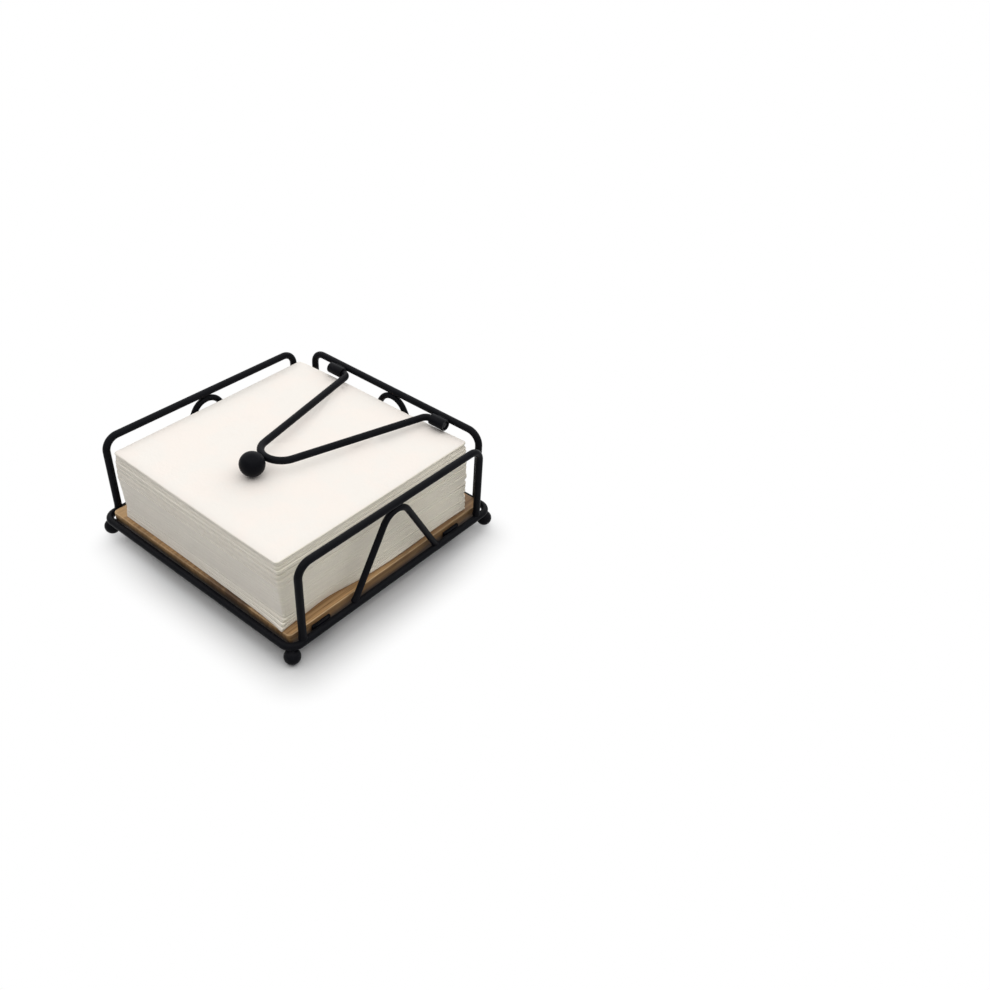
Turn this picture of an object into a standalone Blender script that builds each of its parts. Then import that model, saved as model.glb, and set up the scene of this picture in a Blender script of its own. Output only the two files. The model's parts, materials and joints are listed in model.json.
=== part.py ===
"""Tabletop wire napkin holder with a wooden base board and a hinged weighted arm.

Units are metres and +Z is up. The origin is on the table, under the middle of the
base. The open front faces -Y and the hinge rail stands at +Y.
"""

import math

import bmesh
import bpy
from mathutils import Vector

# Wire stock
FRAME_WIRE_DIAMETER = 0.0050
BRACE_WIRE_DIAMETER = 0.0044
ARM_WIRE_DIAMETER = 0.0050

# Clearances
WELD_GAP = 0.0003
REST_GAP = 0.0003
PIN_CLEARANCE = 0.0003
BOARD_PLAY = 0.0004

# Base ring and feet
RING_SIDE = 0.1850
RING_CORNER_RADIUS = 0.0080
FOOT_DIAMETER = 0.0106
FOOT_FLAT_DEPTH = 0.0003

# Board and the straps that carry it
BOARD_THICKNESS = 0.0100
BOARD_RISE = 0.0055
BOARD_CORNER_RADIUS = 0.0030
BOARD_ARRIS = 0.0007
STRAP_WIDTH = 0.0145
STRAP_THICKNESS = 0.0018
STRAP_INNER_RADIUS = 0.0008
STRAP_INSET_FRONT = 0.0275
STRAP_INSET_REAR = 0.0375

# Rails and braces
RAIL_HEIGHT = 0.0583
RAIL_INSET = 0.0010
RAIL_BEND_RADIUS = 0.0095
LEG_TO_CORNER = 0.0038
SIDE_RAIL_SHIFT = -0.0015
BRACE_FOOT_SPAN = 0.0776
BRACE_BEND_RADIUS = 0.0125

# Hinge sleeves, arm and weight
SLEEVE_LENGTH = 0.0130
SLEEVE_WALL = 0.0012
SLEEVE_CHAMFER = 0.0003
HINGE_DROP = 0.0010
ARM_REACH = 0.1215
ARM_ROOT_WIDTH = 0.0780
ARM_BEND_RADIUS = 0.0140
ARM_ELBOW_RADIUS = 0.0050
ARM_SIDE_PLAY = 0.0005
PIN_RECESS = 0.0008
BALL_DIAMETER = 0.0168

# Napkins: the gaps are to the inner side of the wires around them
NAPKIN_GAP_LEFT = 0.0065
NAPKIN_GAP_RIGHT = 0.0155
NAPKIN_GAP_FRONT = 0.0075
NAPKIN_GAP_REAR = 0.0045
NAPKIN_CORNER_RADIUS = 0.0020
NAPKIN_HEADROOM = 0.0013
STACK_LEAN_RIGHT = 0.0050
STACK_LEAN_FRONT = 0.0050
STACK_FAN_REAR = 0.0060
TOP_NAPKIN_THICKNESS = 0.0012

# Facets
WIRE_BEVEL_RESOLUTION = 4
ARC_STEP = math.radians(15.0)
ROUND_SEGMENTS = 24
MERGE_DISTANCE = 0.00001

# Values worked out from the sizes above
FRAME_RADIUS = FRAME_WIRE_DIAMETER / 2
BRACE_RADIUS = BRACE_WIRE_DIAMETER / 2
ARM_RADIUS = ARM_WIRE_DIAMETER / 2
FOOT_RADIUS = FOOT_DIAMETER / 2
BALL_RADIUS = BALL_DIAMETER / 2
RING_HALF = RING_SIDE / 2
RING_INNER = RING_HALF - FRAME_RADIUS
FOOT_Z = FOOT_RADIUS - FOOT_FLAT_DEPTH
RING_Z = FOOT_Z + FOOT_RADIUS + WELD_GAP + FRAME_RADIUS
FOOT_OFFSET = RING_HALF - RING_CORNER_RADIUS * (1 - math.sqrt(0.5))

BOARD_TOP_Z = RING_Z + BOARD_RISE
BOARD_BOTTOM_Z = BOARD_TOP_Z - BOARD_THICKNESS
STRAP_END_X = RING_INNER - WELD_GAP - STRAP_THICKNESS / 2
STRAP_RUN_Z = BOARD_BOTTOM_Z - REST_GAP - STRAP_THICKNESS / 2
STRAP_TOP_Z = RING_Z + FRAME_RADIUS
BOARD_SIDE = STRAP_END_X - STRAP_THICKNESS / 2 - BOARD_PLAY
BOARD_FRONT = -RING_INNER + BOARD_PLAY

RAIL_TOP_Z = RING_Z + RAIL_HEIGHT
RAIL_OFFSET = RING_HALF - RAIL_INSET
BOARD_REAR = RAIL_OFFSET - FRAME_RADIUS - BOARD_PLAY
LEG_HALF_SPAN = RING_HALF - RING_CORNER_RADIUS - LEG_TO_CORNER
BRACE_APEX = RAIL_HEIGHT - FRAME_RADIUS - BRACE_RADIUS - WELD_GAP

SLEEVE_BORE_RADIUS = ARM_RADIUS + PIN_CLEARANCE
SLEEVE_RADIUS = SLEEVE_BORE_RADIUS + SLEEVE_WALL
HINGE_Z = RAIL_TOP_Z - HINGE_DROP
HINGE_Y = RAIL_OFFSET - math.sqrt((FRAME_RADIUS + SLEEVE_RADIUS + WELD_GAP) ** 2 - HINGE_DROP ** 2)

NAPKIN_TOP_Z = HINGE_Z - SLEEVE_RADIUS - NAPKIN_HEADROOM
TOP_NAPKIN_Z = NAPKIN_TOP_Z - TOP_NAPKIN_THICKNESS
STACK_TOP_Z = TOP_NAPKIN_Z - REST_GAP
STACK_BOTTOM_Z = BOARD_TOP_Z + REST_GAP
NAPKIN_LEFT = -RING_INNER + NAPKIN_GAP_LEFT
NAPKIN_RIGHT = RING_INNER - NAPKIN_GAP_RIGHT
NAPKIN_FRONT = -RING_INNER + NAPKIN_GAP_FRONT
NAPKIN_REAR = RING_INNER - NAPKIN_GAP_REAR

BALL_REST_Z = NAPKIN_TOP_Z + REST_GAP + BALL_RADIUS
ARM_TILT = math.asin((BALL_REST_Z - HINGE_Z) / ARM_REACH)
ARM_APEX = ARM_REACH - BALL_RADIUS - WELD_GAP - ARM_RADIUS

COLLECTION_NAME = "napkin_holder"
CUTTER_COLLECTION_NAME = "cutters"


def clear_scene():
    """Remove every object and make the two collections."""
    for existing in list(bpy.data.objects):
        bpy.data.objects.remove(existing, do_unlink=True)
    made = []
    for name in (COLLECTION_NAME, CUTTER_COLLECTION_NAME):
        collection = bpy.data.collections.new(name)
        bpy.context.scene.collection.children.link(collection)
        made.append(collection)
    return made


def make_material(name, colour, roughness, metallic):
    """A Principled BSDF material of one colour."""
    material = bpy.data.materials.new(name)
    material.use_nodes = True
    shader = material.node_tree.nodes["Principled BSDF"]
    shader.inputs["Base Color"].default_value = (*colour, 1.0)
    shader.inputs["Roughness"].default_value = roughness
    shader.inputs["Metallic"].default_value = metallic
    return material


def add_object(name, data, material):
    """Link a mesh or curve to the holder's collection."""
    piece = bpy.data.objects.new(name, data)
    data.materials.append(material)
    parts.objects.link(piece)
    return piece


def rounded_path(corners, radius, closed=False):
    """Points along straight runs whose corners are arcs of one radius, in a plane."""
    points = []
    count = len(corners)
    for index, corner in enumerate(corners):
        if not closed and index in (0, count - 1):
            points.append(Vector(corner))
            continue
        here = Vector(corner)
        back = (Vector(corners[index - 1]) - here).normalized()
        ahead = (Vector(corners[(index + 1) % count]) - here).normalized()
        turn = math.pi - back.angle(ahead)
        centre = here + (back + ahead).normalized() * radius / math.cos(turn / 2)
        start = here + back * radius * math.tan(turn / 2) - centre
        end = here + ahead * radius * math.tan(turn / 2) - centre
        steps = max(2, math.ceil(turn / ARC_STEP))
        for step in range(steps + 1):
            points.append(centre + start.slerp(end, step / steps).normalized() * radius)
    return points


def sharp_vertex(half_width, apex, radius):
    """Distance to the sharp point of a V whose rounded tip lies at the apex distance.

    The V's two ends lie half_width to either side of the start, and its legs are
    tangent to the tip's arc.
    """
    centre = apex - radius
    leg_angle = math.atan2(half_width, centre) - math.asin(radius / math.hypot(half_width, centre))
    return half_width / math.tan(leg_angle)


def wire_curve(name, points, radius, closed=False):
    """A round wire along the points."""
    curve = bpy.data.curves.new(name, "CURVE")
    curve.dimensions = "3D"
    curve.twist_mode = "MINIMUM"
    spline = curve.splines.new("POLY")
    spline.points.add(len(points) - 1)
    for point, place in zip(spline.points, points):
        point.co = (*place, 1.0)
    spline.use_cyclic_u = closed
    spline.use_smooth = True
    curve.bevel_depth = radius
    curve.bevel_resolution = WIRE_BEVEL_RESOLUTION
    curve.use_fill_caps = not closed
    return curve


def wire_mesh(name, points, radius, material):
    """A round wire as a mesh with welded end caps, ready to be cut."""
    curve_object = add_object(name + "_curve", wire_curve(name, points, radius), material)
    evaluated = curve_object.evaluated_get(bpy.context.evaluated_depsgraph_get())
    mesh = bpy.data.meshes.new_from_object(evaluated)
    place = curve_object.matrix_world.copy()
    bpy.data.objects.remove(curve_object, do_unlink=True)
    work = bmesh.new()
    work.from_mesh(mesh)
    bmesh.ops.remove_doubles(work, verts=work.verts, dist=MERGE_DISTANCE)
    work.to_mesh(mesh)
    work.free()
    mesh.materials.clear()
    piece = add_object(name, mesh, material)
    piece.matrix_world = place
    return piece


def plate(name, outline, thickness, material):
    """A flat plate: a closed outline in XY, filled and extruded evenly about its plane."""
    curve = bpy.data.curves.new(name, "CURVE")
    curve.dimensions = "2D"
    curve.fill_mode = "BOTH"
    curve.extrude = thickness / 2
    spline = curve.splines.new("POLY")
    spline.points.add(len(outline) - 1)
    for point, place in zip(spline.points, outline):
        point.co = (*place, 1.0)
    spline.use_cyclic_u = True
    piece = add_object(name, curve, material)
    weld = piece.modifiers.new("Weld", "WELD")
    weld.merge_threshold = MERGE_DISTANCE
    return piece


def rectangle(left, right, front, rear):
    """Corners of a rectangle in XY, anticlockwise."""
    return [(left, front, 0), (right, front, 0), (right, rear, 0), (left, rear, 0)]


def ball_mesh(name, radius, flat_depth=0.0):
    """A ball, with a flat ground on its underside where a depth is given."""
    mesh = bpy.data.meshes.new(name)
    work = bmesh.new()
    bmesh.ops.create_uvsphere(work, u_segments=ROUND_SEGMENTS, v_segments=ROUND_SEGMENTS // 2, radius=radius)
    if flat_depth:
        everything = list(work.verts) + list(work.edges) + list(work.faces)
        cut = bmesh.ops.bisect_plane(
            work,
            geom=everything,
            plane_co=(0, 0, flat_depth - radius),
            plane_no=(0, 0, -1),
            clear_outer=True,
        )
        rim = [element for element in cut["geom_cut"] if isinstance(element, bmesh.types.BMEdge)]
        bmesh.ops.contextual_create(work, geom=rim)
        bmesh.ops.recalc_face_normals(work, faces=work.faces)
    work.to_mesh(mesh)
    work.free()
    mesh.shade_smooth()
    mesh.set_sharp_from_angle(angle=math.radians(40))
    return mesh


def cut_by(piece, cutter):
    """Cut a piece with a Boolean that stays on it."""
    modifier = piece.modifiers.new("Cope", "BOOLEAN")
    modifier.operation = "DIFFERENCE"
    modifier.solver = "EXACT"
    modifier.object = cutter


def build_base_ring():
    """The square wire ring."""
    corners = rectangle(-RING_HALF, RING_HALF, -RING_HALF, RING_HALF)
    path = rounded_path(corners, RING_CORNER_RADIUS, closed=True)
    ring = add_object("base_ring", wire_curve("base_ring", path, FRAME_RADIUS, closed=True), black_wire)
    ring.location = (0, 0, RING_Z)


def build_feet():
    """Four ball feet under the ring's corners."""
    for row, y_sign in (("front", -1), ("rear", 1)):
        for side, x_sign in (("left", -1), ("right", 1)):
            name = f"foot_ball_{row}_{side}"
            foot = add_object(name, ball_mesh(name, FOOT_RADIUS, FOOT_FLAT_DEPTH), black_wire)
            foot.location = (x_sign * FOOT_OFFSET, y_sign * FOOT_OFFSET, FOOT_Z)


def build_straps():
    """Two flat straps under the board, with ends turned up against the ring."""
    rise = STRAP_TOP_Z - STRAP_RUN_Z
    corners = [(-STRAP_END_X, rise, 0), (-STRAP_END_X, 0, 0), (STRAP_END_X, 0, 0), (STRAP_END_X, rise, 0)]
    path = rounded_path(corners, STRAP_INNER_RADIUS + STRAP_THICKNESS / 2)
    places = {
        "cross_strap_front": -RING_HALF + STRAP_INSET_FRONT,
        "cross_strap_rear": RING_HALF - STRAP_INSET_REAR,
    }
    for name, y in places.items():
        ribbon = wire_curve(name, path, 0.0)
        ribbon.dimensions = "2D"
        ribbon.extrude = STRAP_WIDTH / 2
        ribbon.use_fill_caps = False
        strap = add_object(name, ribbon, black_wire)
        strap.location = (0, y, STRAP_RUN_Z)
        strap.rotation_euler = (math.radians(90), 0, 0)
        shell = strap.modifiers.new("Solidify", "SOLIDIFY")
        shell.thickness = STRAP_THICKNESS
        shell.offset = 0.0
        shell.use_even_offset = True


def build_board():
    """The wooden board inside the ring and in front of the rear legs, with eased edges."""
    corners = rectangle(-BOARD_SIDE, BOARD_SIDE, BOARD_FRONT, BOARD_REAR)
    outline = rounded_path(corners, BOARD_CORNER_RADIUS, closed=True)
    board = plate("base_board", outline, BOARD_THICKNESS, wood)
    board.location = (0, 0, BOARD_TOP_Z - BOARD_THICKNESS / 2)
    arris = board.modifiers.new("Arris", "BEVEL")
    arris.width = BOARD_ARRIS
    arris.segments = 2
    arris.limit_method = "ANGLE"
    arris.angle_limit = math.radians(60)


def cope_cutter():
    """A bar a little fatter than the ring's rear side, for the saddles of the wire ends."""
    bpy.ops.mesh.primitive_cylinder_add(
        vertices=ROUND_SEGMENTS,
        radius=FRAME_RADIUS + WELD_GAP,
        depth=RING_SIDE,
        rotation=(0, math.radians(90), 0),
    )
    cutter = bpy.context.active_object
    cutter.name = "ring_side_cutter"
    cutter.hide_render = True
    cutter.display_type = "WIRE"
    for collection in list(cutter.users_collection):
        collection.objects.unlink(cutter)
    cutters.objects.link(cutter)
    return cutter


def side_frames():
    """An empty on the ring for each railed side, with its X along that side and its Y outwards."""
    places = {
        "rear": ((0, RING_HALF, RING_Z), 0.0),
        "right": ((RING_HALF, SIDE_RAIL_SHIFT, RING_Z), -90.0),
        "left": ((-RING_HALF, SIDE_RAIL_SHIFT, RING_Z), 90.0),
    }
    for side, (location, turn) in places.items():
        empty = bpy.data.objects.new(f"{side}_side", None)
        parts.objects.link(empty)
        empty.location = location
        empty.rotation_euler = (0, 0, math.radians(turn))
        yield side, empty


def build_rail(side, empty):
    """An inverted U of wire, its legs saddle-cut to stand on the ring."""
    corners = [
        (-LEG_HALF_SPAN, 0, 0),
        (-LEG_HALF_SPAN, 0, RAIL_HEIGHT),
        (LEG_HALF_SPAN, 0, RAIL_HEIGHT),
        (LEG_HALF_SPAN, 0, 0),
    ]
    path = rounded_path(corners, RAIL_BEND_RADIUS)
    rail = wire_mesh(f"{side}_rail", path, FRAME_RADIUS, black_wire)
    rail.parent = empty
    rail.location = (0, -RAIL_INSET, 0)
    return rail


def build_brace(side, empty):
    """An inverted V of thinner wire whose rounded apex meets the rail's top bar."""
    half_span = BRACE_FOOT_SPAN / 2
    tip = sharp_vertex(half_span, BRACE_APEX, BRACE_BEND_RADIUS)
    path = rounded_path([(-half_span, 0, 0), (0, 0, tip), (half_span, 0, 0)], BRACE_BEND_RADIUS)
    brace = wire_mesh(f"{side}_brace", path, BRACE_RADIUS, black_wire)
    brace.parent = empty
    brace.location = (0, -RAIL_INSET, 0)
    return brace


def build_sides():
    """The three railed sides. One cutter, parented like the wires, copes each side's ends."""
    for side, empty in side_frames():
        cutter = cope_cutter()
        cutter.parent = empty
        for piece in (build_rail(side, empty), build_brace(side, empty)):
            cut_by(piece, cutter)


def elbow_setback():
    """How far along the pin the elbow's arc starts from its sharp corner."""
    tip = sharp_vertex(ARM_ROOT_WIDTH / 2, ARM_APEX, ARM_BEND_RADIUS)
    turn = math.atan2(tip, ARM_ROOT_WIDTH / 2)
    return ARM_ELBOW_RADIUS * math.tan(turn / 2)


def build_sleeves(inner_end):
    """Two short tubes along the hinge axis, turned from their wall's section."""
    half = SLEEVE_LENGTH / 2
    chamfered = SLEEVE_RADIUS - SLEEVE_CHAMFER
    section = [
        (SLEEVE_BORE_RADIUS, half),
        (chamfered, half),
        (SLEEVE_RADIUS, half - SLEEVE_CHAMFER),
        (SLEEVE_RADIUS, SLEEVE_CHAMFER - half),
        (chamfered, -half),
        (SLEEVE_BORE_RADIUS, -half),
    ]
    for side, sign in (("left", -1), ("right", 1)):
        name = f"hinge_sleeve_{side}"
        mesh = bpy.data.meshes.new(name)
        points = [(radius, 0, height) for radius, height in section]
        edges = [(index, (index + 1) % len(points)) for index in range(len(points))]
        mesh.from_pydata(points, edges, [])
        sleeve = add_object(name, mesh, black_wire)
        sleeve.location = (sign * (inner_end + half), HINGE_Y, HINGE_Z)
        sleeve.rotation_euler = (0, math.radians(90), 0)
        turned = sleeve.modifiers.new("Screw", "SCREW")
        turned.axis = "Z"
        turned.steps = ROUND_SEGMENTS
        turned.render_steps = ROUND_SEGMENTS
        turned.use_merge_vertices = True
        turned.merge_threshold = MERGE_DISTANCE


def build_arm(inner_end):
    """The V-shaped arm: one wire whose turned-out ends are the pins, and the ball at its bend.

    Both hang on an empty on the hinge axis, which is tilted so that the ball lies
    on the top napkin.
    """
    hinge = bpy.data.objects.new("arm_hinge", None)
    parts.objects.link(hinge)
    hinge.location = (0, HINGE_Y, HINGE_Z)
    hinge.rotation_euler = (-ARM_TILT, 0, 0)

    root = ARM_ROOT_WIDTH / 2
    pin_end = inner_end + SLEEVE_LENGTH - PIN_RECESS
    tip = sharp_vertex(root, ARM_APEX, ARM_BEND_RADIUS)
    left_half = rounded_path([(-pin_end, 0, 0), (-root, 0, 0), (0, -tip, 0)], ARM_ELBOW_RADIUS)[:-1]
    bend = rounded_path([(-root, 0, 0), (0, -tip, 0), (root, 0, 0)], ARM_BEND_RADIUS)[1:-1]
    right_half = [Vector((-x, y, z)) for x, y, z in reversed(left_half)]
    path = left_half + bend + right_half
    arm = add_object("weight_arm", wire_curve("weight_arm", path, ARM_RADIUS), black_wire)
    arm.parent = hinge

    ball = add_object("weight_ball", ball_mesh("weight_ball", BALL_RADIUS), black_wire)
    ball.parent = hinge
    ball.location = (0, -ARM_REACH, 0)


def napkin_mesh(name, bottom, top, lean=(0, 0), fan=0.0):
    """A pile of folded napkins, from the outline at its top.

    The foot stands out by the lean, and the fan spreads its right side more towards the rear.
    """
    corners = rectangle(NAPKIN_LEFT, NAPKIN_RIGHT, NAPKIN_FRONT, NAPKIN_REAR)
    outline = rounded_path(corners, NAPKIN_CORNER_RADIUS, closed=True)
    mesh = bpy.data.meshes.new(name)
    work = bmesh.new()
    upper = work.faces.new([work.verts.new((x, y, top)) for x, y, _ in outline])
    swept = bmesh.ops.extrude_face_region(work, geom=[upper], use_keep_orig=True)
    foot = [element for element in swept["geom"] if isinstance(element, bmesh.types.BMVert)]
    for corner in foot:
        if corner.co.x > 0:
            corner.co.x += fan * (corner.co.y - NAPKIN_FRONT) / (NAPKIN_REAR - NAPKIN_FRONT)
    bmesh.ops.translate(work, verts=foot, vec=(*lean, bottom - top))
    bmesh.ops.recalc_face_normals(work, faces=work.faces)
    work.to_mesh(mesh)
    work.free()
    return mesh


def build_napkins():
    """The folded stack, which leans and fans a little, and the napkin on top of it that is drawn next."""
    lean = (STACK_LEAN_RIGHT, -STACK_LEAN_FRONT)
    stack = napkin_mesh("napkin_stack", STACK_BOTTOM_Z, STACK_TOP_Z, lean, STACK_FAN_REAR)
    add_object("napkin_stack", stack, paper)
    top_napkin = napkin_mesh("top_napkin", TOP_NAPKIN_Z, NAPKIN_TOP_Z)
    add_object("top_napkin", top_napkin, paper)


parts, cutters = clear_scene()
black_wire = make_material("black_painted_steel", (0.012, 0.013, 0.016), 0.42, 0.0)
wood = make_material("oiled_wood", (0.46, 0.29, 0.13), 0.55, 0.0)
paper = make_material("white_tissue", (0.90, 0.88, 0.85), 0.95, 0.0)

build_base_ring()
build_feet()
build_straps()
build_board()
build_sides()
sleeve_inner_end = ARM_ROOT_WIDTH / 2 + elbow_setback() + ARM_SIDE_PLAY
build_sleeves(sleeve_inner_end)
build_arm(sleeve_inner_end)
build_napkins()
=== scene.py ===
"""Tabletop napkin holder of black wire: its finished pieces, materials, stage and camera."""
import json
import math

import bpy
import numpy as np
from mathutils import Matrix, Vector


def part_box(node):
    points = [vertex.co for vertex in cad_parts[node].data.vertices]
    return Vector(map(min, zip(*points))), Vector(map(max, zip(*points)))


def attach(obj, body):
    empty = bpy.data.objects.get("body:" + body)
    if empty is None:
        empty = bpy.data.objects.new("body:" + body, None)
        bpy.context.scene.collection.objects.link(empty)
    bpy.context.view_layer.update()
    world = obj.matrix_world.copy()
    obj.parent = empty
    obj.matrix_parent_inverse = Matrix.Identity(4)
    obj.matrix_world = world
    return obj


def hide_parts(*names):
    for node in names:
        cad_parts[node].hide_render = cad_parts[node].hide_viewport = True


bl_info = {
    "name": "Wire Napkin Holder",
    "version": (1, 0, 0),
    "blender": (4, 5, 0),
    "location": "3D View > Sidebar > Napkin Holder",
    "description": "Builds a wire napkin holder with its board, weighted arm and folded napkins",
    "category": "Object",
}

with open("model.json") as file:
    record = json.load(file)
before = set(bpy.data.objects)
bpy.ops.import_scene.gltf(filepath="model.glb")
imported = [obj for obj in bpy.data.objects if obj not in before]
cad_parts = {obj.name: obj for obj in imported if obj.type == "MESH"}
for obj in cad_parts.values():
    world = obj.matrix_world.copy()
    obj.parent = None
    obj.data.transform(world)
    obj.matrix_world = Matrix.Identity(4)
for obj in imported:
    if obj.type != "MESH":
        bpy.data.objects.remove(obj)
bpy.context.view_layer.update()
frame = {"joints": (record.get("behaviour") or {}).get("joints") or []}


def box_of(node):
    """Lowest and highest corners of a CAD node at rest."""
    return tuple(np.array(corner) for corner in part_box(node))


SIDES = 28
CREASE = 38.0
UP = np.array([0, 0, 1.0])
RING_LOW, RING_HIGH = box_of("base_ring")
RING_Z = (RING_LOW[2] + RING_HIGH[2]) / 2
RING_WIRE = (RING_HIGH[2] - RING_LOW[2]) / 2
HINGE = np.array(next(joint for joint in frame["joints"] if joint["name"] == "arm_hinge")["pos_m"])


# Settings that a user would change.

def number(name, description, default, **kind):
    """One number."""
    return bpy.props.FloatProperty(name=name, description=description, default=default, **kind)


def triple(name, description, default, **kind):
    """Three numbers."""
    return bpy.props.FloatVectorProperty(name=name, description=description, default=default, **kind)


def length(name, description, default):
    """A length in metres."""
    return number(name, description, default, precision=5, subtype="DISTANCE", unit="LENGTH")


def colour(name, description, default):
    """A linear colour."""
    return triple(name, description, default, size=3, min=0.0, max=1.0, subtype="COLOR")


class WireSettings(bpy.types.PropertyGroup):
    """Bends, welds and paint of the wirework."""

    ring_corner: length("Ring corner", "Bend radius of the base ring's corners", 0.008)
    rail_bend: length("Rail bend", "Bend radius at the top corners of the rails", 0.0095)
    brace_span: length("Brace span", "Distance between a brace's feet", 0.0776)
    brace_bend: length("Brace bend", "Bend radius at a brace's apex", 0.0125)
    strap_bend: length("Strap bend", "Bend radius of a strap's turned-up ends, at mid thickness", 0.0017)
    strap_thickness: length("Strap thickness", "Thickness of the cross straps", 0.0018)
    weld_swell: length("Weld swell", "How far a weld stands out from the wire", 0.00040)
    sleeve_bore: length("Sleeve bore", "Radius of the hole through a hinge sleeve", 0.0028)
    paint: colour("Paint", "Black of the paint", (0.0052, 0.0055, 0.0072))
    paint_worn: colour("Thin paint", "Paler black where the paint is thin", (0.0090, 0.0094, 0.0118))
    bare_steel: colour("Bare steel", "Steel that shows at rubbed rims", (0.022, 0.022, 0.024))


class ArmSettings(bpy.types.PropertyGroup):
    """Shape of the weighted arm."""

    root_width: length("Root width", "Distance between the arm's elbows", 0.078)
    bend: length("Nose bend", "Bend radius at the arm's nose", 0.014)
    elbow: length("Elbow bend", "Bend radius where the pins turn out", 0.005)
    wire_radius: length("Wire radius", "Radius of the arm's wire", 0.0025)
    nose_gap: length("Nose gap", "Distance from the wire's nose to the ball's surface", 0.0003)


class BoardSettings(bpy.types.PropertyGroup):
    """Edges and wood of the base board."""

    corner: length("Corner", "Radius of the board's corners", 0.003)
    arris: length("Arris", "Width of the eased edges", 0.0007)
    pale_wood: colour("Pale wood", "Early wood between the grain lines", (0.55, 0.335, 0.150))
    dark_wood: colour("Dark wood", "Late wood in the grain lines", (0.25, 0.132, 0.053))
    pore: colour("Pore", "Colour inside the open pores", (0.10, 0.05, 0.02))
    # Paler wood on the eased edges, partly from wear and partly a painted highlight; it also lightens the
    # wood towards the left edge.
    pale_edge: colour("Worn edge", "Wood along the eased edges", (0.64, 0.44, 0.235))
    # Painted shade on the bare margins at the front and the right.
    margin_shade: colour("Damp", "Wood darkened by spills and grime on the bare margins", (0.085, 0.046, 0.022))
    # Painted shade: the dark colour laid on the lower part of the board's sides.
    stain: colour("Stain", "Dark stain on the lower part of the sides", (0.030, 0.017, 0.009))


class NapkinSettings(bpy.types.PropertyGroup):
    """The folded napkins."""

    count: bpy.props.IntProperty(
        name="Count", description="Napkins under the top one", default=42, min=8, max=60
    )
    corner: length("Corner", "Radius of a napkin's corners", 0.0025)
    scatter: length("Scatter", "How far napkins lie out of line", 0.00004)
    ledge: length("Ledge", "How far each lower bundle stands out near the top of the pile", 0.00060)
    ruffle: length("Ruffle", "Depth of the ruffles at the open rear corner", 0.00070)
    droop: length("Droop", "How far the upper napkins sink along their edges", 0.00070)
    lean_right: length("Lean right", "How far the foot of the pile stands out to the right", 0.0039)
    lean_front: length("Lean front", "How far the foot of the pile stands out to the front", 0.0002)
    skew: length("Skew", "How much further the foot stands out at the rear of the right side", 0.0045)
    flare: length("Flare", "How far the lowest napkins spread beyond the rest", 0.0014)
    tissue: colour("Tissue", "Colour of the paper", (0.955, 0.898, 0.845))
    tissue_cool: colour("Cool tissue", "Colour of the cooler patches", (0.934, 0.899, 0.852))
    tissue_shade: colour("Tissue shade", "Colour of the paper in its hollows", (0.80, 0.745, 0.67))
    tissue_edge: colour("Folded edge", "Colour of the folded edges", (0.88, 0.838, 0.765))
    tissue_cut: colour("Cut edge", "Colour of the cut edges", (0.87, 0.83, 0.70))


class StageSettings(bpy.types.PropertyGroup):
    """Camera, light and floor."""

    eye: triple(
        "Camera place", "Where the camera stands", (0.42625, -0.35318, 0.45216),
        subtype="TRANSLATION", unit="LENGTH",
    )
    aim: triple(
        "Camera turn", "Turn of the camera about X, Y and Z",
        tuple(math.radians(angle) for angle in (52.468, -3.244, 38.961)), subtype="EULER",
    )
    lens: number("Lens", "Focal length in millimetres on a 36 mm sensor", 36.406, unit="CAMERA")
    lamp_power: number("Lamp", "Strength of the overhead lamp", 2.95, subtype="FACTOR")
    lamp_spread: number(
        "Lamp spread", "Angle that the overhead lamp fills", math.radians(122), subtype="ANGLE"
    )
    lamp_from: triple("Lamp from", "Direction that the light comes from", (-0.10, 0.23, 1.0), subtype="XYZ")
    lamp_colour: colour("Lamp colour", "Tint of the overhead lamp", (1.0, 0.988, 0.975))
    sky: number("Sky", "Strength of the light from all round", 0.12, subtype="FACTOR")
    sky_colour: colour("Sky colour", "Tint of the light from all round", (0.97, 0.985, 1.0))
    floor: colour("Floor", "Colour that the floor throws back", (0.72, 0.72, 0.72))
    lit_floor: colour("Lit floor", "Colour of the floor where it keeps the shadow", (0.794, 0.80, 0.806))


# Surfaces.

PATH_STEP = 0.0012
ARC_STEPS = 24
END_RUN = np.linspace(0, 0.007, 26)
ASLANT = (0.31, 0.87, 0.38)
BEAD_RIPPLE = 0.0011


def unit(vectors):
    """Vectors divided by their own lengths."""
    return vectors / np.linalg.norm(vectors, axis=-1, keepdims=True)


def circle(sides=SIDES):
    """Points at equal angles on a circle of radius 1 about the origin."""
    angle = np.linspace(0, 2 * np.pi, sides, endpoint=False)
    return np.stack([np.cos(angle), np.sin(angle)], -1)


def hump(place, middle, width):
    """A bell that is 1 at its middle: exp(-((p - m) / w)**2)."""
    return np.exp(-((place - middle) / width) ** 2)


def lengths_along(path):
    """Distance travelled from the path's first point to each of its points."""
    steps = np.linalg.norm(np.diff(path, axis=0), axis=1)
    return np.concatenate([[0.0], np.cumsum(steps)])


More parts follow.
